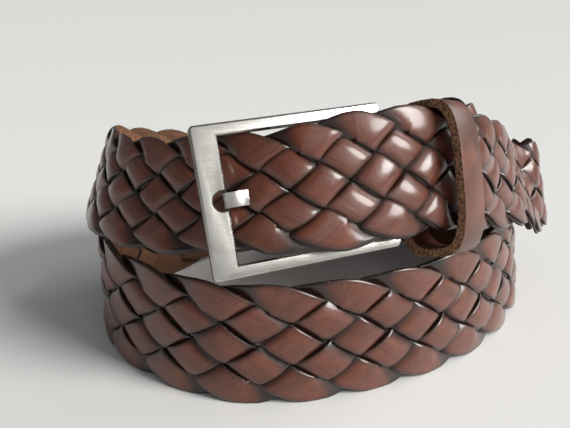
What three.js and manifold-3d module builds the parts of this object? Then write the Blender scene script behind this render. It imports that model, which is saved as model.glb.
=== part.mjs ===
// Braided leather belt, fastened and wound into two turns that lie on a surface, one above the other.
// Lengths are in millimetres and angles in degrees. +Z is up and the buckle faces -Y.

import * as THREE from 'three';
import { mergeVertices } from 'three/addons/utils/BufferGeometryUtils.js';
import Module from 'manifold-3d';

const wasm = await Module();
wasm.setup();

// Sizes of the coil, at the middle of the strap's thickness
const coilHalfWidth = 82;
const coilHalfDepth = 56;

// Sizes of the braided strap
const strapWidth = 40;
const strapThickness = 5;
const edgeRound = 1.8;
const scallopDepth = 1.5;
const crestSkew = 0.18;
const loosePitch = 20.5;
const tightPitch = 17;
const tightensFrom = 494;
const tightensOver = 110;
const firstCrest = 0.32;
const sectionsPerCrest = 6;
const restFlat = 0.7;

// Clearances
const gap = 0.3;
const frontGap = 1.1;
const frontDrop = 2.4;
const prongHoleGap = 0.55;
const layerGap = 0.4;
const layerStep = strapThickness + layerGap;

// Sizes of the buckle frame, its prong and the leather folded round its bar
const frameLength = 56;
const frameHeight = 42.2;
const frameThickness = 3;
const frameChamfer = 0.5;
const frontBar = 7.3;
const sideBar = 3.5;
const cornerRound = 1.2;
const pivotRadius = 1.4;
const notchRadius = 2.6;
const notchDepth = 4;
const prongWidth = 4.2;
const prongThickness = 2;
const prongEye = 1.3;
const prongReach = 1.2;
const chapeThickness = 1.6;
const chapeWidth = 26;
const chapeSlotReach = 1.5;

// Sizes of the keeper loop and of the plain end of the strap
const keeperWidth = 11.4;
const keeperThickness = 2.5;
const keeperHeight = 46.3;
const keeperDrop = 2.6;
const keeperTurn = 10;
const keeperTilt = 7;
const keeperSlack = 3.9;
const keeperSquareness = 3.4;
const tipLength = 42;
const tipThickness = 4;
const tipShare = 0.88;
const tipStraight = 0.6;
const tipBlunt = 0.93;

// Places along the path, as angles round the coil from the middle of the front
const pivotAngle = 721.5;
const keeperAngle = 731.3;

// The path of the strap's lower edge, a row for each section. angle goes round the coil from the middle of
// the front towards +X, layer moves the strap outwards in layers, rise is the lower edge's height and wide
// the strap's width, both as shares of strapWidth, and lean tips the upper edge inwards.
const pathColumns = ['angle', 'layer', 'rise', 'lean', 'wide'];
const pathRows = [
  [9, -0.15, 1.29, 21, 0.82],
  [17, -0.62, 1.20, 18, 0.83],
  [27, -1.06, 1.13, 19, 0.86],
  [36, -1.58, 1.09, 20, 0.90],
  [45, -2.00, 1.06, 23, 0.92],
  [60, -2.10, 1.03, 27, 0.93],
  [75, -2.20, 1.03, 24, 0.95],
  [90, -2.40, 1.02, 20, 0.95],
  [105, -2.40, 0.94, 15, 0.96],
  [120, -1.90, 0.80, 11, 0.97],
  [150, -1.00, 0.52, 8, 1],
  [180, -0.75, 0.28, 3, 1],
  [210, -0.75, 0.06, 1, 1],
  [240, -0.60, 0, 1, 1],
  [270, -0.40, 0, 1.5, 1],
  [300, 0.10, 0, 1.5, 1],
  [330, 1.20, 0, 1.5, 1],
  [360, 0.52, 0, 1.5, 1],
  [390, -0.20, 0, 5, 1],
  [405, -0.48, 0, 8, 1],
  [420, -0.54, 0, 9, 0.99],
  [435, -0.38, 0, 8, 0.99],
  [450, -0.20, 0, 6, 0.98],
  [480, 0.00, 0, 2, 0.99],
  [510, 0.30, 0.04, 2, 1],
  [540, 0.55, 0.28, 3, 0.97],
  [570, 0.85, 0.54, 6, 0.93],
  [600, 0.95, 0.80, 12, 0.9],
  [615, 0.65, 0.95, 18, 0.87],
  [630, 0.20, 1.02, 22, 0.85],
  [660, 0.15, 1.09, 22, 0.85],
  [678, 0.75, 1.165, 22, 0.85],
  [686, 1.12, 1.225, 22, 0.84],
  [694, 1.62, 1.265, 22, 0.83],
  [702, 1.87, 1.27, 22, 0.885],
  [714, 1.55, 1.285, 22, 0.935],
  [728, 1.00, 1.30, 21, 0.92],
  [737, 0.62, 1.215, 19, 0.91],
  [744, 0.35, 1.155, 18.5, 0.92],
  [751, 0.05, 1.085, 18.5, 0.92],
  [758, -0.17, 1.03, 21, 0.92],
  [767, -0.06, 0.98, 25, 0.92],
  [776, 0.10, 0.89, 27, 0.92],
  [784, 0.33, 0.765, 25, 0.91],
  [793, 0.88, 0.64, 19, 0.91],
  [801, 1.87, 0.572, 15, 0.91],
  [809, 3.15, 0.53, 15, 0.91],
  [817, 4.55, 0.48, 18, 0.91],
  [823, 5.35, 0.43, 20, 0.91],
  [829, 5.75, 0.39, 20, 0.91],
  [835, 5.80, 0.35, 18, 0.91],
  [842, 5.40, 0.32, 16, 0.91],
  [850, 4.80, 0.30, 14, 0.91],
];

// One value of the path at a place between its rows, on a smooth curve through them
function pathValue(place, name) {
  const column = pathColumns.indexOf(name);
  const last = pathRows.length - 1;
  const row = Math.min(Math.floor(place), last - 1);
  const [before, from, to, after] = [-1, 0, 1, 2].map((step) => {
    const near = THREE.MathUtils.clamp(row + step, 0, last);
    return pathRows[near][column];
  });
  const t = place - row;
  const startSlope = row > 0 ? (to - before) / 2 : to - from;
  const endSlope = row < last - 1 ? (after - from) / 2 : to - from;
  const rise = to - from;
  return from + t * (startSlope + t * (3 * rise - 2 * startSlope - endSlope
    + t * (startSlope + endSlope - 2 * rise)));
}

function ellipsePoint(angle, offset) {
  const turn = THREE.MathUtils.degToRad(angle);
  const [side, front] = [Math.sin(turn), -Math.cos(turn)];
  const normal = new THREE.Vector2(coilHalfDepth * side, coilHalfWidth * front).normalize();
  return new THREE.Vector2(coilHalfWidth * side, coilHalfDepth * front).addScaledVector(normal, offset);
}

function lowerEdge(place) {
  const plan = ellipsePoint(pathValue(place, 'angle'), pathValue(place, 'layer') * layerStep);
  return new THREE.Vector3(plan.x, plan.y, pathValue(place, 'rise') * strapWidth);
}

// The strap's middle and its three directions at a place: along it, up across its width, and outwards
function section(place) {
  const step = 0.01;
  const ahead = lowerEdge(Math.min(place + step, pathRows.length - 1));
  const behind = lowerEdge(Math.max(place - step, 0));
  const along = ahead.sub(behind).normalize();
  const level = new THREE.Vector3(along.y, -along.x, 0).normalize();
  const lean = THREE.MathUtils.degToRad(pathValue(place, 'lean'));
  const up = new THREE.Vector3(0, 0, Math.cos(lean)).addScaledVector(level, -Math.sin(lean));
  up.addScaledVector(along, -up.dot(along)).normalize();
  const out = new THREE.Vector3().crossVectors(along, up);
  const width = pathValue(place, 'wide') * strapWidth;
  const middle = lowerEdge(place).addScaledVector(up, width / 2);
  return { place, along, up, out, width, middle };
}

// The whole path as close sections with their distance from the start
const stepsPerRow = 24;
const sections = [];
let pathLength = 0;
for (let i = 0; i <= (pathRows.length - 1) * stepsPerRow; i += 1) {
  const here = section(i / stepsPerRow);
  if (i > 0) pathLength += here.middle.distanceTo(sections[i - 1].middle);
  sections.push({ ...here, distance: pathLength });
}

function sectionAt(distance) {
  let i = 1;
  while (i < sections.length - 1 && sections[i].distance < distance) i += 1;
  const [a, b] = [sections[i - 1], sections[i]];
  const share = THREE.MathUtils.clamp((distance - a.distance) / (b.distance - a.distance), 0, 1);
  return section(THREE.MathUtils.lerp(a.place, b.place, share));
}

function distanceOfAngle(angle) {
  return sections.find((here) => pathValue(here.place, 'angle') >= angle).distance;
}

const braidLength = pathLength - tipLength - gap;
const pivotDistance = distanceOfAngle(pivotAngle);
const keeperDistance = distanceOfAngle(keeperAngle);

// Closed body through rings of points, all rings with the same number of points
function skin(rings) {
  const count = rings[0].length;
  const index = [];
  for (let r = 0; r < rings.length - 1; r += 1) {
    for (let i = 0; i < count; i += 1) {
      const [a, b] = [r * count + i, r * count + (i + 1) % count];
      index.push(a, b, b + count, a, b + count, a + count);
    }
  }
  const end = (rings.length - 1) * count;
  for (let i = 1; i < count - 1; i += 1) {
    index.push(0, i + 1, i, end, end + i, end + i + 1);
  }
  const positions = rings.flat().flatMap((point) => point.toArray());
  const geometry = new THREE.BufferGeometry();
  geometry.setAttribute('position', new THREE.Float32BufferAttribute(positions, 3));
  geometry.setIndex(index);
  geometry.computeVertexNormals();
  return geometry;
}

// Six points round the strap: a rounded tip at each edge and a shoulder on each face beside it.
// below and above are how far its edges lie from its middle.
function strapRing(here, below, above, halfThickness, shoulder) {
  const corners = [
    [-below, 0], [shoulder - below, -halfThickness], [above - shoulder, -halfThickness],
    [above, 0], [above - shoulder, halfThickness], [shoulder - below, halfThickness],
  ];
  return corners.map(([across, proud]) => here.middle.clone()
    .addScaledVector(here.up, across).addScaledVector(here.out, proud));
}

function toSolid(geometry) {
  const bare = geometry.clone();
  for (const name of Object.keys(bare.attributes)) {
    if (name !== 'position') bare.deleteAttribute(name);
  }
  const merged = mergeVertices(bare, 1e-4);
  return new wasm.Manifold(new wasm.Mesh({
    numProp: 3,
    vertProperties: new Float32Array(merged.attributes.position.array),
    triVerts: new Uint32Array(merged.index.array),
  }));
}

function toGeometry(solid) {
  const mesh = solid.getMesh();
  const geometry = new THREE.BufferGeometry();
  geometry.setAttribute('position', new THREE.BufferAttribute(mesh.vertProperties, 3));
  geometry.setIndex(new THREE.BufferAttribute(mesh.triVerts, 1));
  geometry.computeVertexNormals();
  return geometry;
}

function basisMatrix(x, y, z, origin) {
  return new THREE.Matrix4().makeBasis(x, y, z).setPosition(origin);
}

// Extrusion of an outline along local Y, centred on Y = 0, with the outline drawn in local X and Z
function extrudeAcross(shape, width) {
  const geometry = new THREE.ExtrudeGeometry(shape, { depth: width, bevelEnabled: false, curveSegments: 10 });
  geometry.translate(0, 0, -width / 2);
  return geometry.rotateX(Math.PI / 2);
}

function outline(points) {
  return new THREE.Shape(points.map(([x, y]) => new THREE.Vector2(x, y)));
}

// The braid: one body with a scalloped edge on both sides, flat where its lowest crests rest.
// The upper edge's crests come a little later along the strap than the lower edge's.
function pitchAt(distance) {
  const tight = THREE.MathUtils.smoothstep(distance, tightensFrom, tightensFrom + tightensOver);
  return THREE.MathUtils.lerp(loosePitch, tightPitch, tight);
}

function scallop(crest) {
  return scallopDepth * (1 - Math.cos(2 * Math.PI * crest)) / 2;
}

function braidRing(distance, crest) {
  const here = sectionAt(distance);
  const below = here.width / 2 - scallop(crest + crestSkew);
  const above = here.width / 2 - scallop(crest - crestSkew);
  return strapRing(here, below, above, strapThickness / 2, edgeRound);
}

function braidGeometry() {
  const rings = [];
  let distance = 0;
  let crest = firstCrest;
  while (distance < braidLength) {
    rings.push(braidRing(distance, crest));
    distance += pitchAt(distance) / sectionsPerCrest;
    crest += 1 / sectionsPerCrest;
  }
  rings.push(braidRing(braidLength, crest - (distance - braidLength) / pitchAt(braidLength)));
  return skin(rings);
}

// The frame lies over the strap at its front bar and under it at the pivot bar
const pivotSeat = pivotRadius + gap + chapeThickness + gap + strapThickness / 2;
const frontSeat = frameThickness / 2 + frontGap + strapThickness / 2;
const barSpan = frameLength - frontBar / 2 - sideBar / 2;

function frameMatrix() {
  const atPivot = sectionAt(pivotDistance);
  const atFront = sectionAt(pivotDistance - barSpan + frontBar / 2);
  const pivot = atPivot.middle.clone().addScaledVector(atPivot.out, -pivotSeat);
  const front = atFront.middle.clone().addScaledVector(atFront.out, frontSeat);
  front.addScaledVector(atFront.up, -frontDrop);
  const x = pivot.clone().sub(front).normalize();
  const up = atPivot.up.clone().add(atFront.up);
  const y = up.addScaledVector(x, -up.dot(x)).normalize();
  return basisMatrix(x, y, new THREE.Vector3().crossVectors(x, y), pivot);
}

const frameAt = frameMatrix();
const frontInner = -barSpan + frontBar / 2;

// Frame outline with the pivot bar's axis on local Y, the front bar on -X and the notch in its inner edge
function frameGeometry() {
  const [left, right] = [-barSpan - frontBar / 2, sideBar / 2];
  const [outer, inner] = [frameHeight / 2, frameHeight / 2 - sideBar];
  const inset = frameChamfer;
  const plate = new THREE.Shape();
  plate.moveTo(left + cornerRound, -outer + inset);
  plate.lineTo(right - sideBar / 2, -outer + inset);
  plate.absarc(right - sideBar / 2, -outer + sideBar / 2, sideBar / 2 - inset, -Math.PI / 2, Math.PI / 2);
  plate.lineTo(frontInner - inset, -inner - inset);
  plate.lineTo(frontInner - inset, -notchRadius - inset);
  const notchCentre = frontInner - notchDepth + notchRadius;
  plate.lineTo(notchCentre, -notchRadius - inset);
  plate.absarc(notchCentre, 0, notchRadius + inset, -Math.PI / 2, Math.PI / 2, true);
  plate.lineTo(frontInner - inset, notchRadius + inset);
  plate.lineTo(frontInner - inset, inner + inset);
  plate.lineTo(right - sideBar / 2, inner + inset);
  plate.absarc(right - sideBar / 2, outer - sideBar / 2, sideBar / 2 - inset, -Math.PI / 2, Math.PI / 2);
  plate.lineTo(left + cornerRound, outer - inset);
  plate.absarc(left + cornerRound, outer - cornerRound, cornerRound - inset, Math.PI / 2, Math.PI);
  plate.absarc(left + cornerRound, -outer + cornerRound, cornerRound - inset, Math.PI, Math.PI * 1.5);
  const body = new THREE.ExtrudeGeometry(plate, {
    depth: frameThickness - 2 * frameChamfer,
    bevelThickness: frameChamfer,
    bevelSize: frameChamfer,
    bevelSegments: 1,
    curveSegments: 6,
  });
  body.translate(0, 0, -frameThickness / 2 + frameChamfer);
  const bar = new THREE.CylinderGeometry(pivotRadius, pivotRadius, 2 * inner + sideBar, 16);
  return toGeometry(toSolid(body).add(toSolid(bar)));
}

// The prong runs from its eye behind the strap, comes through the braid and ends in the notch.
// Rows go from the eye to the tip: back is the share of the way to the tip, proud the height over the bar as
// a share of strapThickness.
const prongRows = [
  { back: 0, proud: -0.55 },
  { back: 0.3, proud: -0.56 },
  { back: 0.62, proud: -0.68 },
  { back: 0.76, proud: -0.52 },
  { back: 0.9, proud: 0.32 },
  { back: 1, proud: 0.24 },
];

function prongBar(spare) {
  const length = -frontInner + prongReach + spare;
  const middles = prongRows.map((row) => new THREE.Vector2(-row.back * length, row.proud * strapThickness));
  const curve = new THREE.SplineCurve(middles);
  const steps = 18;
  const half = prongThickness / 2 + spare;
  const sides = [half, -half].map((side) => Array.from({ length: steps + 1 }, (_, i) => {
    const tangent = curve.getTangent(i / steps);
    const point = curve.getPoint(i / steps);
    return [point.x - tangent.y * side, point.y + tangent.x * side];
  }));
  return extrudeAcross(outline([...sides[0], ...sides[1].reverse()]), prongWidth + 2 * spare);
}

function prongGeometry() {
  const eye = new THREE.Shape().absarc(0, 0, pivotRadius + gap + prongEye, 0, 2 * Math.PI);
  eye.holes.push(new THREE.Path().absarc(0, 0, pivotRadius + gap, 0, 2 * Math.PI));
  return toGeometry(toSolid(extrudeAcross(eye, prongWidth)).add(toSolid(prongBar(0))));
}

// Leather folded round the pivot bar, with a slot for the prong's eye, up to the braid's first section
function chapeParts() {
  const start = sectionAt(0);
  const pivot = new THREE.Vector3().setFromMatrixPosition(frameAt);
  const y = new THREE.Vector3().setFromMatrixColumn(frameAt, 1);
  const reach = start.middle.clone().sub(pivot);
  const x = reach.addScaledVector(y, -reach.dot(y));
  const length = x.length();
  x.normalize();
  return { matrix: basisMatrix(x, y, new THREE.Vector3().crossVectors(x, y), pivot), length };
}

function chapeGeometry(matrix, length) {
  const outer = pivotRadius + gap + chapeThickness;
  const turn = Math.asin(chapeThickness / outer);
  const fold = new THREE.Shape();
  fold.moveTo(length + strapThickness, chapeThickness);
  fold.lineTo(outer * Math.cos(turn), chapeThickness);
  fold.absarc(0, 0, outer, turn, 2 * Math.PI - turn);
  fold.lineTo(length + strapThickness, -chapeThickness);
  fold.holes.push(new THREE.Path().absarc(0, 0, pivotRadius + gap, 0, 2 * Math.PI));
  const slotReach = 2 * outer + chapeSlotReach;
  const slot = new THREE.BoxGeometry(slotReach, prongWidth + 4 * gap, slotReach);
  const start = sectionAt(0);
  const inverse = matrix.clone().invert();
  const end = start.middle.clone().addScaledVector(start.along, -2 * gap).applyMatrix4(inverse);
  const towardsBar = start.along.clone().negate().transformDirection(inverse);
  const body = toSolid(extrudeAcross(fold, chapeWidth)).subtract(toSolid(slot));
  return toGeometry(body.trimByPlane(towardsBar.toArray(), towardsBar.dot(end)));
}

// The keeper is a closed loop round both layers of the strap
function keeperMatrix() {
  const here = sectionAt(keeperDistance);
  const centre = here.middle.clone().addScaledVector(here.out, -layerStep / 2);
  centre.addScaledVector(here.up, -keeperDrop);
  const turned = new THREE.Matrix4().makeRotationX(THREE.MathUtils.degToRad(keeperTurn));
  const tilted = new THREE.Matrix4().makeRotationY(THREE.MathUtils.degToRad(keeperTilt));
  return basisMatrix(here.up, here.out, here.along, centre).multiply(turned).multiply(tilted);
}

// Closed curve between an ellipse and a box, point by point round the loop
function loopPoints(halfHeight, halfDepth) {
  const sides = 44;
  const power = 2 / keeperSquareness;
  return Array.from({ length: sides }, (_, i) => {
    const turn = (2 * Math.PI * i) / sides;
    const squared = (value) => Math.sign(value) * Math.abs(value) ** power;
    return [halfHeight * squared(Math.cos(turn)), halfDepth * squared(Math.sin(turn))];
  });
}

function keeperGeometry() {
  const halfDepth = strapThickness + layerGap / 2 + keeperSlack;
  const halfHeight = keeperHeight / 2 - keeperThickness;
  const loop = outline(loopPoints(keeperHeight / 2, halfDepth + keeperThickness));
  loop.holes.push(outline(loopPoints(halfHeight, halfDepth)));
  const geometry = new THREE.ExtrudeGeometry(loop, { depth: keeperWidth, bevelEnabled: false });
  return geometry.translate(0, 0, -keeperWidth / 2);
}

// The strap's plain end narrows to a round point
function tipGeometry() {
  const steps = 24;
  const rings = [];
  for (let i = 0; i <= steps; i += 1) {
    const share = i / steps;
    const here = sectionAt(braidLength + gap + share * tipLength);
    const curved = Math.max(0, (share - tipStraight) / (1 - tipStraight));
    const halfWidth = strapWidth * tipShare / 2 * Math.sqrt(1 - tipBlunt * curved ** 2);
    rings.push(strapRing(here, halfWidth, halfWidth, tipThickness / 2, edgeRound));
  }
  return skin(rings);
}

function strapGeometry() {
  const prongHole = prongBar(prongHoleGap).applyMatrix4(frameAt);
  const floor = new THREE.BoxGeometry(4 * coilHalfWidth, 4 * coilHalfDepth, strapWidth);
  floor.translate(0, 0, restFlat - strapWidth / 2);
  return toGeometry(toSolid(braidGeometry()).subtract(toSolid(prongHole)).subtract(toSolid(floor)));
}

const leather = new THREE.MeshStandardMaterial({ color: 0x6a3526, roughness: 0.35, metalness: 0 });
const plainLeather = new THREE.MeshStandardMaterial({ color: 0x6f3d2c, roughness: 0.5, metalness: 0 });
const satinSteel = new THREE.MeshStandardMaterial({ color: 0xb9b6ad, roughness: 0.32, metalness: 1 });

function piece(name, geometry, material, matrix) {
  const mesh = new THREE.Mesh(geometry, material.clone());
  mesh.name = name;
  if (matrix) matrix.decompose(mesh.position, mesh.quaternion, mesh.scale);
  return mesh;
}

const belt = new THREE.Group();
const chape = chapeParts();
belt.add(piece('braid_strap', strapGeometry(), leather));
belt.add(piece('buckle_frame', frameGeometry(), satinSteel, frameAt));
belt.add(piece('buckle_prong', prongGeometry(), satinSteel, frameAt));
belt.add(piece('chape_fold', chapeGeometry(chape.matrix, chape.length), plainLeather, chape.matrix));
belt.add(piece('keeper_loop', keeperGeometry(), plainLeather, keeperMatrix()));
belt.add(piece('strap_tip', tipGeometry(), plainLeather));

// The origin is the middle of the belt's box, on the surface that it rests on
const box = new THREE.Box3().setFromObject(belt, true);
const centre = box.getCenter(new THREE.Vector3());
belt.position.set(-centre.x, -centre.y, -restFlat);

export default belt;
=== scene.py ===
import math

import bmesh
import bpy
import numpy as np
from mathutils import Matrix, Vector


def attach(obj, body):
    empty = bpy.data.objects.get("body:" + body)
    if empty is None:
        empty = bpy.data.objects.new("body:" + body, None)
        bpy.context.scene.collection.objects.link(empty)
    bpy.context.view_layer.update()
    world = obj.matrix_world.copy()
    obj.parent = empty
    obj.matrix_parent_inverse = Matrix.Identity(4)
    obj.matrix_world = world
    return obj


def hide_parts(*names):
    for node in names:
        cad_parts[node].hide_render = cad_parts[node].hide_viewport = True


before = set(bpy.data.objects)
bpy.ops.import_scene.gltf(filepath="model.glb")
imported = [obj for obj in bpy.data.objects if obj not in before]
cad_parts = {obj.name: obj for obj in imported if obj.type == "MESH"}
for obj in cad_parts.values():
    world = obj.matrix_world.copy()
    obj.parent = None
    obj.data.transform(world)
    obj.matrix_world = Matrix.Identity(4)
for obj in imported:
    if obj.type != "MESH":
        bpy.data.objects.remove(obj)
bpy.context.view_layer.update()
mm = 0.001
print("frame loaded:", ", ".join(sorted(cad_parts)))


class Field:  # one socket of a node, so that formulas read as plain arithmetic
    def __init__(self, tree, node, socket):
        self.tree = tree
        self.node = node
        self.socket = socket

    def out(self, name):
        return Field(self.tree, self.node, self.node.outputs[name])

    def math(self, operation, *values):
        return self.tree.node("ShaderNodeMath", {"operation": operation}, dict(enumerate(values)))

    def __add__(self, other):
        return self.math("ADD", self, other)

    def __radd__(self, other):
        return self.math("ADD", other, self)

    def __sub__(self, other):
        return self.math("SUBTRACT", self, other)

    def __rsub__(self, other):
        return self.math("SUBTRACT", other, self)

    def __mul__(self, other):
        return self.math("MULTIPLY", self, other)

    def __rmul__(self, other):
        return self.math("MULTIPLY", other, self)

    def __truediv__(self, other):
        return self.math("DIVIDE", self, other)

    def __rtruediv__(self, other):
        return self.math("DIVIDE", other, self)

    def __pow__(self, other):
        return self.math("POWER", self, other)

    def __lt__(self, other):
        return self.math("LESS_THAN", self, other)

    def between(self, low, high):  # 0 at low, 1 at high, eased and held outside
        return self.tree.node("ShaderNodeMapRange", {"interpolation_type": "SMOOTHSTEP"},
                              {"Value": self, "From Min": low, "From Max": high})

    def least(self, other):
        return self.math("MINIMUM", self, other)

    def most(self, other):
        return self.math("MAXIMUM", self, other)


class Tree:  # adds nodes to a shader or a geometry tree
    def __init__(self, nodeTree):
        self.nodeTree = nodeTree

    def node(self, kind, settings=None, inputs=None, out=0):
        made = self.nodeTree.nodes.new(kind)
        for name, value in (settings or {}).items():
            if name == "stops":
                ramp = made.color_ramp
                while len(ramp.elements) < len(value):
                    ramp.elements.new(0.5)
                for element, (place, colour) in zip(ramp.elements, value):
                    element.position = place
                    element.color = colour
            else:
                setattr(made, name, value)
        for key, value in (inputs or {}).items():
            socket = made.inputs[key]
            if isinstance(value, Field):
                self.nodeTree.links.new(value.socket, socket)
            else:
                socket.default_value = value
        return Field(self, made, made.outputs[out] if made.outputs else None)

    def vector(self, operation, *values):
        return self.node("ShaderNodeVectorMath", {"operation": operation}, dict(enumerate(values)))

    def scaled(self, vector, amount):
        return self.node("ShaderNodeVectorMath", {"operation": "SCALE"}, {"Vector": vector, "Scale": amount})

    def combine(self, x, y, z):
        return self.node("ShaderNodeCombineXYZ", None, {"X": x, "Y": y, "Z": z})

    def split(self, vector):
        made = self.node("ShaderNodeSeparateXYZ", None, {0: vector})
        return made.out("X"), made.out("Y"), made.out("Z")


# The strap's path, as in the part's source, in millimetres and degrees.

path = {
    "coilHalfWidth": 82, "coilHalfDepth": 56, "strapWidth": 40, "layerStep": 5.4,
    "shift": (-11.8058, 3.1415, -0.7),  # from the coil's middle to the belt's origin
    "loosePitch": 20.5, "tightPitch": 17, "tightensFrom": 494, "tightensOver": 110,
    "firstCrest": 0.32, "tipLength": 42, "gap": 0.3,
    "rows": [  # angle, layer, rise, lean, wide
        (9, -0.15, 1.29, 21, 0.82), (17, -0.62, 1.20, 18, 0.83), (27, -1.06, 1.13, 19, 0.86),
        (36, -1.58, 1.09, 20, 0.90), (45, -2.00, 1.06, 23, 0.92), (60, -2.10, 1.03, 27, 0.93),
        (75, -2.20, 1.03, 24, 0.95), (90, -2.40, 1.02, 20, 0.95), (105, -2.40, 0.94, 15, 0.96),
        (120, -1.90, 0.80, 11, 0.97), (150, -1.00, 0.52, 8, 1), (180, -0.75, 0.28, 3, 1),
        (210, -0.75, 0.06, 1, 1), (240, -0.60, 0, 1, 1), (270, -0.40, 0, 1.5, 1),
        (300, 0.10, 0, 1.5, 1), (330, 1.20, 0, 1.5, 1), (360, 0.52, 0, 1.5, 1),
        (390, -0.20, 0, 5, 1), (405, -0.48, 0, 8, 1), (420, -0.54, 0, 9, 0.99),
        (435, -0.38, 0, 8, 0.99), (450, -0.20, 0, 6, 0.98), (480, 0.00, 0, 2, 0.99),
        (510, 0.30, 0.04, 2, 1), (540, 0.55, 0.28, 3, 0.97), (570, 0.85, 0.54, 6, 0.93),
        (600, 0.95, 0.80, 12, 0.9), (615, 0.65, 0.95, 18, 0.87), (630, 0.20, 1.02, 22, 0.85),
        (660, 0.15, 1.09, 22, 0.85), (678, 0.75, 1.165, 22, 0.85), (686, 1.12, 1.225, 22, 0.84),
        (694, 1.62, 1.265, 22, 0.83), (702, 1.87, 1.27, 22, 0.885), (714, 1.55, 1.285, 22, 0.935),
        (728, 1.00, 1.30, 21, 0.92), (737, 0.62, 1.215, 19, 0.91), (744, 0.35, 1.155, 18.5, 0.92),
        (751, 0.05, 1.085, 18.5, 0.92), (758, -0.17, 1.03, 21, 0.92), (767, -0.06, 0.98, 25, 0.92),
        (776, 0.10, 0.89, 27, 0.92), (784, 0.33, 0.765, 25, 0.91), (793, 0.88, 0.64, 19, 0.91),
        (801, 1.87, 0.572, 15, 0.91), (809, 3.15, 0.53, 15, 0.91), (817, 4.55, 0.48, 18, 0.91),
        (823, 5.35, 0.43, 20, 0.91), (829, 5.75, 0.39, 20, 0.91), (835, 5.80, 0.35, 18, 0.91),
        (842, 5.40, 0.32, 16, 0.91), (850, 4.80, 0.30, 14, 0.91),
    ],
}


def pathValue(place, column):
    rows, last = path["rows"], len(path["rows"]) - 1
    row = min(int(place), last - 1)
    near = [rows[min(max(row + step, 0), last)][column] for step in (-1, 0, 1, 2)]
    before, start, end, after = near
    t = place - row
    startSlope = (end - before) / 2 if row > 0 else end - start
    endSlope = (after - start) / 2 if row < last - 1 else end - start
    return start + t * (startSlope + t * (3 * (end - start) - 2 * startSlope - endSlope
                                          + t * (startSlope + endSlope - 2 * (end - start))))


def lowerEdge(place):
    turn = math.radians(pathValue(place, 0))
    width, depth = path["coilHalfWidth"], path["coilHalfDepth"]
    normal = Vector((depth * math.sin(turn), -width * math.cos(turn), 0)).normalized()
    point = Vector((width * math.sin(turn), -depth * math.cos(turn), 0))
    point += normal * pathValue(place, 1) * path["layerStep"]
    point.z = pathValue(place, 2) * path["strapWidth"]
    return point


def section(place):  # the strap's middle, up, out and half width
    last = len(path["rows"]) - 1
    along = (lowerEdge(min(place + 0.01, last)) - lowerEdge(max(place - 0.01, 0))).normalized()
    level = Vector((along.y, -along.x, 0)).normalized()
    lean = math.radians(pathValue(place, 3))
    up = Vector((0, 0, math.cos(lean))) - level * math.sin(lean)
    up = (up - along * up.dot(along)).normalized()
    half = pathValue(place, 4) * path["strapWidth"] / 2
    return lowerEdge(place) + up * half, up, along.cross(up), half


stepsPerRow = 24
sections = [section(i / stepsPerRow) for i in range((len(path["rows"]) - 1) * stepsPerRow + 1)]
middles = np.array([s[0] for s in sections])
distances = np.concatenate([[0], np.cumsum(np.linalg.norm(np.diff(middles, axis=0), axis=1))])
braidLength = distances[-1] - path["tipLength"] - path["gap"]


def pitchAt(distance):
    t = np.clip((distance - path["tightensFrom"]) / path["tightensOver"], 0, 1)
    return path["loosePitch"] + (path["tightPitch"] - path["loosePitch"]) * t * t * (3 - 2 * t)


def sectionsAt(places):  # rows of middle, up, out and half width at distances along the strap
    columns = [np.array([s[i] for s in sections]) for i in range(3)]
    read = [np.stack([np.interp(places, distances, column[:, axis]) for axis in range(3)], axis=1)
            for column in columns]
    read[0] = read[0] + np.array(path["shift"])
    return read + [np.interp(places, distances, [s[3] for s in sections])]


def storeVectors(mesh, name, values):
    layer = mesh.attributes.new(name, "FLOAT_VECTOR", "POINT")
    layer.data.foreach_set("vector", np.ascontiguousarray(values, dtype=np.float32).ravel())


guideStep = 0.25  # millimetres between the places at which crests are counted
guideRate = 20  # points of the guide for each crest


# The guide is a straight line, one unit long for each crest, that carries the strap's place at each point.
def makeGuide():
    fine = np.arange(0, braidLength, guideStep)
    crests = path["firstCrest"] + np.concatenate([[0], np.cumsum(guideStep / pitchAt(fine[:-1]))])
    steps = np.arange(math.ceil(crests[0] * guideRate), math.floor(crests[-1] * guideRate) + 1) / guideRate
    places = np.interp(steps, crests, fine)
    middle, up, out, half = sectionsAt(places)
    mesh = bpy.data.meshes.new("strapGuide")
    edges = [(i, i + 1) for i in range(len(steps) - 1)]
    mesh.from_pydata([(float(c), 0, 0) for c in steps - steps[0]], edges, [])
    sizes = np.stack([half, pitchAt(places), places], axis=1)
    for name, values in (("middle", middle * mm), ("up", up), ("outward", out), ("sizes", sizes)):
        storeVectors(mesh, name, values)
    guide = bpy.data.objects.new("strapGuide", mesh)
    bpy.context.scene.collection.objects.link(guide)
    return guide, float(steps[0]), float(steps[-1])


def newGeometryTree(name, sockets):  # named inputs, Geometry first, as fields
    group = bpy.data.node_groups.new(name, "GeometryNodeTree")
    group.interface.new_socket("Geometry", in_out="OUTPUT", socket_type="NodeSocketGeometry")
    group.interface.new_socket("Geometry", in_out="INPUT", socket_type="NodeSocketGeometry")
    for label, kind in sockets.items():
        group.interface.new_socket(label, in_out="INPUT", socket_type="NodeSocket" + kind)
    tree = Tree(group)
    start = tree.node("NodeGroupInput")
    return tree, {label: start.out(label) for label in ["Geometry", *sockets]}


def finishGeometryTree(tree, geometry, material):
    real = tree.node("GeometryNodeRealizeInstances", None, {"Geometry": geometry})
    painted = tree.node("GeometryNodeSetMaterial", None, {"Geometry": real, "Material": material})
    tree.node("NodeGroupOutput", None, {0: painted})


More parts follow.
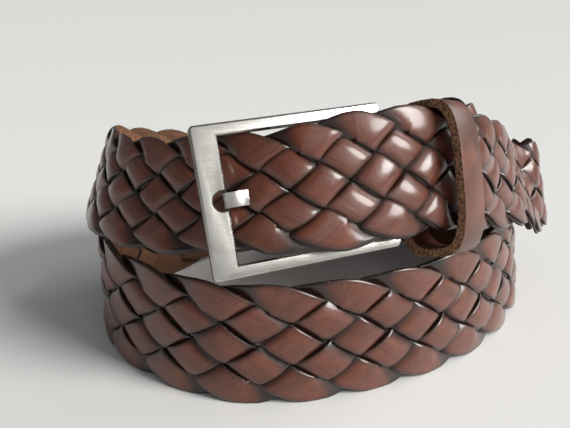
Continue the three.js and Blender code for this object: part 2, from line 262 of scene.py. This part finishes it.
def runGeometryTree(name, tree, values, start=None):  # the tree's result as a plain mesh object
    holder = bpy.data.objects.new(name + "Holder", start or bpy.data.meshes.new(name + "Start"))
    bpy.context.scene.collection.objects.link(holder)
    modifier = holder.modifiers.new(name, "NODES")
    modifier.node_group = tree.nodeTree
    for item in tree.nodeTree.interface.items_tree:
        if item.in_out == "INPUT" and item.name in values:
            modifier[item.identifier] = values[item.name]
    evaluated = holder.evaluated_get(bpy.context.evaluated_depsgraph_get())
    mesh = bpy.data.meshes.new_from_object(evaluated)
    bpy.data.objects.remove(holder)
    made = bpy.data.objects.new(name, mesh)
    mesh.name = name
    bpy.context.scene.collection.objects.link(made)
    print(name, len(mesh.polygons), "faces")
    return made


def attribute(tree, name, kind="FLOAT"):
    return tree.node("GeometryNodeInputNamedAttribute", {"data_type": kind}, {"Name": name})


def stored(tree, geometry, name, value, kind="FLOAT", domain="POINT"):
    return tree.node("GeometryNodeStoreNamedAttribute", {"data_type": kind, "domain": domain},
                     {"Geometry": geometry, "Name": name, "Value": value})


# Materials of the leather and the metal.

def newMaterial(name):
    material = bpy.data.materials.new(name)
    material.use_nodes = True
    material.node_tree.nodes.clear()
    return material, Tree(material.node_tree)


def finishMaterial(tree, fixed, values):
    shader = tree.node("ShaderNodeBsdfPrincipled", None, {**fixed, **values})
    tree.node("ShaderNodeOutputMaterial", None, {"Surface": shader})


def mixColour(tree, share, first, second):
    return tree.node("ShaderNodeMix", {"data_type": "RGBA"}, {0: share, 6: first, 7: second}, out=2)


braidLook = {
    # the first colour is the dark of burnished edges and of painted shade in the gaps and where strips dive
    # under
    "burnishAndShade": (0.010, 0.005, 0.004, 1), "brown": (0.092, 0.027, 0.015, 1), "red": (0.150, 0.042, 0.022, 1),
    "edge": (0.008, 0.005, 0.004, 1), "fibre": (0.26, 0.13, 0.065, 1),
    "fleshDark": (0.075, 0.034, 0.018, 1), "fleshLight": (0.21, 0.10, 0.05, 1),
    "coatRoughness": 0.19, "coat": 0.7, "grain": 0.10, "wrinkles": 0.34,
}


def makeBraidLeather():
    look = braidLook
    material, tree = newMaterial("glossyBraidLeather")
    place = tree.node("ShaderNodeAttribute", {"attribute_name": "stripPlace"}).out("Vector")
    edge = tree.node("ShaderNodeAttribute", {"attribute_name": "cutEdge"}).out("Fac")
    across = tree.node("ShaderNodeAttribute", {"attribute_name": "across"}).out("Fac")
    tucked = tree.node("ShaderNodeAttribute", {"attribute_name": "tucked"}).out("Fac")
    broad = tree.node("ShaderNodeTexNoise", None, {"Vector": place, "Scale": 0.09, "Detail": 3.0})
    blotch = tree.node("ShaderNodeTexNoise", None, {"Vector": place, "Scale": 0.45, "Detail": 4.0})
    stretched = tree.vector("MULTIPLY", place, (1.9, 0.45, 1.0))
    wrinkle = tree.node("ShaderNodeTexNoise", None, {
        "Vector": stretched, "Scale": 0.55, "Detail": 5.0, "Distortion": 0.6})
    grain = tree.node("ShaderNodeTexVoronoi", {"feature": "F1"}, {"Vector": place, "Scale": 2.6})
    tone = (0.6 * broad.out("Fac") + 0.4 * blotch.out("Fac")).between(0.36, 0.64)
    skinTone = mixColour(tree, tone, look["brown"], look["red"])
    # painted shade: darkens toward the strip edges, partly real burnish and partly painted shade in the gaps
    # between strips, and fully painted shade where the strip dives under its neighbour
    burnishAndPaintedShade = (across.between(0.62, 1.0) * 0.6 + tucked.between(0.1, 0.5) * 0.85).least(0.96)
    shaded = mixColour(tree, burnishAndPaintedShade, skinTone, look["burnishAndShade"])
    hairs = tree.node("ShaderNodeTexNoise", None, {"Vector": place, "Scale": 3.0, "Detail": 2.0})
    edgeTone = mixColour(tree, hairs.out("Fac").between(0.56, 0.68), look["edge"], look["fibre"])
    edgeShare = (edge + 0.25 * (hairs.out("Fac") - 0.5)).between(0.2, 0.45)
    flesh = tree.node("ShaderNodeAttribute", {"attribute_name": "flesh"}).out("Fac").between(0.3, 0.8)
    fleshTone = mixColour(tree, hairs.out("Fac").between(0.4, 0.62), look["fleshDark"], look["fleshLight"])
    worn = mixColour(tree, edgeShare, shaded, edgeTone)
    colour = mixColour(tree, flesh * 0.85, worn, fleshTone)
    roughness = 0.36 + 0.16 * (blotch.out("Fac") - 0.5) + 0.3 * edgeShare + 0.4 * flesh
    fuzz = (0.5 * edgeShare + 0.6 * flesh) * hairs.out("Fac")
    height = look["wrinkles"] * wrinkle.out("Fac") + look["grain"] * grain.out("Distance") + fuzz
    bump = tree.node("ShaderNodeBump", None, {"Strength": 0.5, "Distance": 0.0006, "Height": height})
    coat = (look["coat"] - 0.6 * edgeShare - 0.7 * flesh).most(0.0)
    fixed = {
        "IOR": 1.42, "Specular IOR Level": 0.4, "Coat IOR": 1.45, "Coat Roughness": look["coatRoughness"]}
    finishMaterial(tree, fixed, {
        "Base Color": colour, "Roughness": roughness, "Normal": bump, "Coat Weight": coat})
    return material


plainLook = {
    "dark": (0.075, 0.024, 0.014, 1), "light": (0.155, 0.052, 0.030, 1), "raw": (0.30, 0.15, 0.075, 1),
    "rawDark": (0.09, 0.04, 0.02, 1), "coatRoughness": 0.3,
}


def makePlainLeather():
    look = plainLook
    material, tree = newMaterial("smoothPlainLeather")
    place = tree.node("ShaderNodeTexCoord").out("Object")
    edge = tree.node("ShaderNodeAttribute", {"attribute_name": "cutEdge"}).out("Fac")
    broad = tree.node("ShaderNodeTexNoise", None, {"Vector": place, "Scale": 90.0, "Detail": 4.0})
    grain = tree.node("ShaderNodeTexVoronoi", {"feature": "F1"}, {"Vector": place, "Scale": 1900.0})
    fibres = tree.node("ShaderNodeTexNoise", None, {"Vector": place, "Scale": 1500.0, "Detail": 3.0})
    skinTone = mixColour(tree, broad.out("Fac").between(0.35, 0.65), look["dark"], look["light"])
    rawTone = mixColour(tree, fibres.out("Fac").between(0.42, 0.6), look["rawDark"], look["raw"])
    edgeShare = edge.between(0.35, 0.6)
    colour = mixColour(tree, edgeShare, skinTone, rawTone)
    roughness = 0.42 + 0.2 * (broad.out("Fac") - 0.5) + 0.4 * edgeShare
    height = 0.3 * grain.out("Distance") + 1.5 * edgeShare * fibres.out("Fac")
    bump = tree.node("ShaderNodeBump", None, {"Strength": 0.35, "Distance": 0.0004, "Height": height})
    finishMaterial(tree, {"IOR": 1.48, "Coat Roughness": look["coatRoughness"]},
                   {"Base Color": colour, "Roughness": roughness, "Normal": bump,
                    "Coat Weight": (0.3 - 0.3 * edgeShare).most(0.0)})
    return material


steelLook = {"base": (0.50, 0.485, 0.45, 1), "worn": (0.42, 0.40, 0.365, 1)}


def makeSatinSteel():
    look = steelLook
    material, tree = newMaterial("satinSteel")
    place = tree.node("ShaderNodeTexCoord").out("Object")
    drawn = tree.vector("MULTIPLY", place, (60.0, 900.0, 900.0))
    brushed = tree.node("ShaderNodeTexNoise", None, {"Vector": drawn, "Scale": 3.0, "Detail": 3.0})
    worn = tree.node("ShaderNodeTexNoise", None, {"Vector": place, "Scale": 160.0, "Detail": 4.0})
    colour = mixColour(tree, worn.out("Fac").between(0.45, 0.7), look["base"], look["worn"])
    roughness = 0.18 + 0.10 * brushed.out("Fac") + 0.06 * worn.out("Fac")
    bump = tree.node("ShaderNodeBump", None, {
        "Strength": 0.08, "Distance": 0.0002, "Height": brushed.out("Fac")})
    finishMaterial(tree, {"Metallic": 1.0}, {"Base Color": colour, "Roughness": roughness, "Normal": bump})
    return material


def makeRawLeather():
    material, tree = newMaterial("rawFibres")
    finishMaterial(tree, {"Base Color": (0.30, 0.135, 0.065, 1), "Roughness": 0.85}, {})
    return material


braidLeather = makeBraidLeather()
rawLeather = makeRawLeather()
plainLeather = makePlainLeather()
satinSteel = makeSatinSteel()
print("materials made")


# The braid: six doubled strips, over one and under one.

braid = {
    "strands": 6, "stripWidth": 10.9, "plyThickness": 1.2, "plyOffset": 0.6, "rise": 1.75, "crown": 0.45,
    "skew": 0.38, "dive": 1.35, "ringsPerCrest": 18, "profilePoints": 16, "uneven": 0.45, "seed": 4,
}


def swing(tree, phase, skew):  # from 1 at the top edge to -1 at the bottom edge; a turn is 12 half crests
    plain = (phase * (math.pi / 6)).math("COSINE", phase * (math.pi / 6))
    lifted = phase - skew * plain ** 9.0
    return lifted.math("COSINE", lifted * (math.pi / 6))


def overUnder(phase, dive):  # 1 where the strip lies on top, -1 where it lies below
    place = (phase + 1.0).math("WRAP", phase + 1.0, 12.0, 0.0)
    top = place < 2.0
    down = (place < 6.0) - top
    bottom = (place < 8.0) - (place < 6.0)
    up = 1.0 - (place < 8.0)
    wave = place.math("COSINE", place * math.pi)
    turn = place.math("COSINE", place * (math.pi / 2))
    crossing = wave * (down - up)
    crossing = crossing.math("TANH", crossing * dive) / math.tanh(braid["dive"])
    turning = turn * (0.0 - top - bottom)
    turning = turning.math("TANH", turning * 1.4) / math.tanh(1.4)
    return crossing + turning


def makeWeaveTree():
    tree, given = newGeometryTree("weaveStrips", {
        "Guide": "Object", "First Crest": "Float", "Crests": "Float", "Rings": "Int", "Profile Points": "Int",
        "Strands": "Int", "Strip Width": "Float", "Ply Thickness": "Float", "Ply Side": "Float",
        "Ply Offset": "Float", "Rise": "Float", "Crown": "Float", "Skew": "Float", "Dive": "Float",
        "Uneven": "Float", "Seed": "Float", "Material": "Material"})
    grid = tree.node("GeometryNodeMeshGrid", None, {
        "Size X": given["Crests"], "Size Y": 1.0,
        "Vertices X": given["Rings"], "Vertices Y": given["Profile Points"]})
    line = tree.node("GeometryNodeMeshLine", None, {"Count": given["Strands"], "Offset": (0, 0, 0)})
    strips = tree.node("GeometryNodeInstanceOnPoints", None, {"Points": line, "Instance": grid})
    strips = stored(tree, strips, "strand", tree.node("GeometryNodeInputIndex"), domain="INSTANCE")
    strips = tree.node("GeometryNodeRealizeInstances", None, {"Geometry": strips})
    x, y, _ = tree.split(tree.node("GeometryNodeInputPosition"))
    strand = attribute(tree, "strand")
    half = given["Crests"] / 2
    crest = x + half
    even = 2.0 * (crest + given["First Crest"] - strand)
    # rings stand closer where the strips dive
    phase = even + 0.5 / (2 * math.pi) * even.math("SINE", even * (2 * math.pi))
    guide = tree.node("GeometryNodeObjectInfo", {"transform_space": "ORIGINAL"}, {"Object": given["Guide"]})
    guide = tree.node("GeometryNodeMeshToCurve", None, {"Mesh": guide.out("Geometry")})

    def guideValue(name, place):
        return tree.node("GeometryNodeSampleCurve", {"data_type": "FLOAT_VECTOR", "mode": "LENGTH"}, {
            "Curves": guide, "Value": attribute(tree, name, "FLOAT_VECTOR"), "Length": place})

    halfWidth, pitch, _ = tree.split(guideValue("sizes", phase / 2 + strand - given["First Crest"]))
    wobbleAt = tree.combine(crest * 0.9, strand * 7.0, given["Seed"])
    wobble = tree.node("ShaderNodeTexNoise", None, {"Vector": wobbleAt, "Scale": 1.0, "Detail": 1.0})
    wobble = (wobble.out("Fac") - 0.5) * given["Uneven"]
    slowAt = tree.combine(crest * 0.5, strand * 11.0, 3.0)
    slow = tree.node("ShaderNodeTexNoise", None, {"Vector": slowAt, "Scale": 1.0})
    slow = (slow.out("Fac") - 0.5) * given["Uneven"]
    around = y * (2 * math.pi)
    side = around.math("COSINE", around)
    proud = around.math("SINE", around)
    across = side.math("SIGN", side) * side.math("ABSOLUTE", side) ** 0.5
    thick = proud.math("SIGN", proud) * proud.math("ABSOLUTE", proud) ** 0.28
    stripWidth = given["Strip Width"] * (0.25 + 0.75 * halfWidth / 20.0) * (1.0 + 0.12 * slow)
    reach = halfWidth - stripWidth / 2
    u = across * stripWidth / 2 + given["Ply Side"] * (0.25 + wobble * 1.2)
    turnShare = (phase * (math.pi / 6)).math("COSINE", phase * (math.pi / 6)) ** 9.0
    inside = (u * turnShare * -1.0).most(0.0) * 0.5
    u = u + inside * turnShare.math("SIGN", turnShare)

    def slope(at):
        ahead = swing(tree, at + 0.05, given["Skew"])
        behind = swing(tree, at - 0.05, given["Skew"])
        return (ahead - behind) * reach / (0.05 * pitch)

    m = slope(phase)
    stepLength = pitch / 2 * (1.0 + m * m) ** 0.5
    slant = phase - (1.0 - m * m) / 2 * m / (m * m + 0.12) * u / stepLength
    m = slope(slant)
    flat = (1.0 + m * m) ** 0.5
    crestAt = slant / 2 + strand - given["First Crest"] - u * m / flat / pitch
    crestAt = crestAt.most(0.0).least(given["Crests"])
    height = swing(tree, slant, given["Skew"]) * reach + u / flat
    over = overUnder(phase, given["Dive"])
    out = over * (given["Rise"] - given["Crown"] * across * across) + over * (wobble + slow) * 0.5
    out = out + given["Ply Side"] * given["Ply Offset"] + thick * given["Ply Thickness"] / 2
    middle = guideValue("middle", crestAt)
    raised = tree.vector("ADD", middle, tree.scaled(guideValue("up", crestAt), height * mm))
    placed = tree.vector("ADD", raised, tree.scaled(guideValue("outward", crestAt), out * mm))
    px, py, pz = tree.split(placed)
    placed = tree.combine(px, py, pz.most(0.0002))
    edge = 1.0 - thick.math("ABSOLUTE", thick)
    # share of the ply lying under its neighbour; the leather shader paints shade there from it
    tuckedShare = (1.0 - over * given["Ply Side"]) / 2
    stripPlace = tree.combine(slant * stepLength, u, strand * 50.0)
    strips = stored(tree, strips, "stripPlace", stripPlace, "FLOAT_VECTOR")
    strips = stored(tree, strips, "cutEdge", edge)
    strips = stored(tree, strips, "across", across.math("ABSOLUTE", across))
    strips = stored(tree, strips, "tucked", tuckedShare)
    strips = stored(tree, strips, "flesh", thick * -1.0)
    strips = tree.node("GeometryNodeSetPosition", None, {"Geometry": strips, "Position": placed})
    strips = tree.node("GeometryNodeMergeByDistance", None, {"Geometry": strips, "Distance": 0.000005})
    strips = tree.node("GeometryNodeSetShadeSmooth", None, {"Geometry": strips})
    finishGeometryTree(tree, strips, given["Material"])
    return tree


def makeBraid():
    guide, firstCrest, lastCrest = makeGuide()
    tree = makeWeaveTree()
    crests = lastCrest - firstCrest
    for name, side in (("braidOuterPly", 1.0), ("braidInnerPly", -1.0)):
        strips = runGeometryTree(name, tree, {
            "Guide": guide, "First Crest": firstCrest, "Crests": crests,
            "Rings": int(crests * braid["ringsPerCrest"]), "Profile Points": braid["profilePoints"] + 1,
            "Strands": braid["strands"], "Strip Width": braid["stripWidth"],
            "Ply Thickness": braid["plyThickness"], "Ply Side": side, "Ply Offset": braid["plyOffset"],
            "Rise": braid["rise"], "Crown": braid["crown"], "Skew": braid["skew"], "Dive": braid["dive"],
            "Uneven": braid["uneven"], "Seed": float(braid["seed"]), "Material": braidLeather})
        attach(strips, "root")
        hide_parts("braid_strap")
    bpy.data.objects.remove(guide)


makeBraid()


def distanceAt(angle):  # how far along the strap a place of the coil lies
    angles = [pathValue(i / stepsPerRow, 0) for i in range(len(sections))]
    return float(np.interp(angle, angles, distances))


fibres = {
    "count": 190, "fromAngle": 604, "toAngle": 672, "length": 0.0030, "thickness": 0.00006,
    "rootDepth": (1.0, 3.2), "inward": (0.3, 2.2), "spread": 0.65, "seed": 9,
}


def makeFibreTree():
    tree, given = newGeometryTree("standFibres", {
        "Length": "Float", "Thickness": "Float", "Material": "Material"})
    hair = tree.node("GeometryNodeMeshCone", None, {
        "Vertices": 3, "Radius Top": given["Thickness"] * 0.2, "Radius Bottom": given["Thickness"],
        "Depth": given["Length"]})
    turned = tree.node("FunctionNodeAlignRotationToVector", {"axis": "Z"}, {
        "Vector": attribute(tree, "lean", "FLOAT_VECTOR")})
    placed = tree.node("GeometryNodeInstanceOnPoints", None, {
        "Points": given["Geometry"], "Instance": hair, "Rotation": turned,
        "Scale": attribute(tree, "size", "FLOAT_VECTOR")})
    finishGeometryTree(tree, placed, given["Material"])
    return tree


def makeFibres():  # frayed flesh that stands out of the strap's upper edge beside the buckle
    draw = np.random.default_rng(fibres["seed"])
    count = fibres["count"]
    places = draw.uniform(distanceAt(fibres["fromAngle"]), distanceAt(fibres["toAngle"]), count)
    middle, up, out, half = sectionsAt(places)
    along = np.cross(up, out)
    root = middle + up * (half - draw.uniform(*fibres["rootDepth"], count))[:, None]
    root = root - out * draw.uniform(*fibres["inward"], count)[:, None]
    sideways = out * draw.normal(0, 1, count)[:, None] + along * draw.normal(0, 1, count)[:, None]
    lean = up + fibres["spread"] * sideways
    size = np.ones((count, 3))
    size[:, 2] = draw.uniform(0.35, 1.3, count)
    mesh = bpy.data.meshes.new("fibreRoots")
    mesh.from_pydata([tuple(point) for point in root * mm], [], [])
    storeVectors(mesh, "lean", lean)
    storeVectors(mesh, "size", size)
    made = runGeometryTree("frayedFibres", makeFibreTree(), {
        "Length": fibres["length"], "Thickness": fibres["thickness"], "Material": rawLeather}, mesh)
    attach(made, "root")


# The buckle and the keeper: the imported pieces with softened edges.

softened = [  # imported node, piece, rounding in metres, least angle that is rounded, slot
    ("buckle_frame", "satinFrame", 0.00035, 28, "satin_steel"),
    ("buckle_prong", "satinProng", 0.00035, 28, "satin_steel"),
    ("keeper_loop", "keeperBand", 0.00045, 40, "plain_leather"),
]
keeperPlace = 835  # how far along the strap the keeper sits, in millimetres


def soften(nodeName, name, rounding, angle, slot):
    shape = bmesh.new()
    shape.from_mesh(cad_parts[nodeName].data)
    bmesh.ops.remove_doubles(shape, verts=shape.verts, dist=0.00001)
    bmesh.ops.dissolve_limit(shape, angle_limit=math.radians(0.5), verts=shape.verts, edges=shape.edges)
    mesh = bpy.data.meshes.new(name)
    shape.to_mesh(mesh)
    shape.free()
    piece = bpy.data.objects.new(name, mesh)
    bpy.context.scene.collection.objects.link(piece)
    bevel = piece.modifiers.new("roundedEdges", "BEVEL")
    bevel.width = rounding
    bevel.segments = 3
    bevel.limit_method = "ANGLE"
    bevel.angle_limit = math.radians(angle)
    evaluated = piece.evaluated_get(bpy.context.evaluated_depsgraph_get())
    rounded = bpy.data.meshes.new_from_object(evaluated)
    piece.modifiers.clear()
    piece.data = rounded
    rounded.shade_smooth()
    rounded.set_sharp_from_angle(angle=math.radians(38))
    rounded.materials.clear()
    rounded.materials.append(satinSteel if slot == "satin_steel" else plainLeather)
    middle = sectionsAt(np.array([keeperPlace - 1.0, keeperPlace + 1.0]))[0]
    along = Vector(middle[1] - middle[0]).normalized()
    cut = [1.0 if abs(face.normal.dot(along)) > 0.7 else 0.0 for face in rounded.polygons]
    rounded.attributes.new("cutEdge", "FLOAT", "FACE").data.foreach_set("value", cut)
    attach(piece, "root")
    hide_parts(nodeName)
    print(name, len(rounded.polygons), "faces")


for nodeName, name, rounding, angle, slot in softened:
    soften(nodeName, name, rounding, angle, slot)
for nodeName in ("chape_fold", "strap_tip"):
    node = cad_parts[nodeName]
    node.data.materials.clear()
    node.data.materials.append(plainLeather)
makeFibres()


# Floor, light and camera.

def makeStage():
    mesh = bpy.data.meshes.new("floor")
    mesh.from_pydata([(-4, -4, 0), (4, -4, 0), (4, 4, 0), (-4, 4, 0)], [], [(0, 1, 2, 3)])
    floor = bpy.data.objects.new("floor", mesh)
    bpy.context.scene.collection.objects.link(floor)
    material, tree = newMaterial("paleFloor")
    finishMaterial(tree, {"Base Color": (0.84, 0.84, 0.83, 1), "Roughness": 0.6}, {})
    mesh.materials.append(material)
    world = bpy.data.worlds.new("studio")
    world.use_nodes = True
    background = world.node_tree.nodes["Background"]
    background.inputs["Color"].default_value = (0.84, 0.86, 0.88, 1)
    background.inputs["Strength"].default_value = 0.19
    bpy.context.scene.world = world
    bpy.context.scene.view_settings.view_transform = "Standard"


lights = [  # name, kind, place, aims at, width or angle, height, power, colour
    ("windowLight", "SUN", (1.29, -1.16, 1.0), (0, 0, 0), 27, 0, 4.0, (1.0, 0.985, 0.96)),
    ("sideLight", "SUN", (1.5, 0.2, 0.9), (0, 0, 0), 36, 0, 0.9, (1.0, 0.99, 0.97)),
    ("frontSoftbox", "AREA", (0.1, -1.25, 0.64), (0, 0, 0.05), 1.5, 0.9, 2.2, (0.98, 0.99, 1.0)),
]


def makeLights():
    for name, kind, place, target, width, height, power, colour in lights:
        data = bpy.data.lights.new(name, kind)
        if kind == "SUN":
            data.angle = math.radians(width)
        else:
            data.shape = "RECTANGLE"
            data.size, data.size_y = width, height
        data.energy = power
        data.color = colour
        light = bpy.data.objects.new(name, data)
        light.location = place
        light.rotation_euler = (Vector(target) - Vector(place)).to_track_quat("-Z", "Y").to_euler()
        bpy.context.scene.collection.objects.link(light)


cameraView = {"place": (-92.006, -211.759, 123.5), "down": 21.0, "right": 17.0, "lens": 41.05}


def makeCamera():
    data = bpy.data.cameras.new("camera")
    data.lens = cameraView["lens"]
    data.sensor_width = 36
    data.clip_start = 0.01
    camera = bpy.data.objects.new("camera", data)
    camera.location = Vector(cameraView["place"]) * mm
    camera.rotation_euler = (math.radians(90 - cameraView["down"]), 0, -math.radians(cameraView["right"]))
    bpy.context.scene.collection.objects.link(camera)
    bpy.context.scene.camera = camera


makeStage()
makeLights()
makeCamera()
print("stage, lights and camera made")
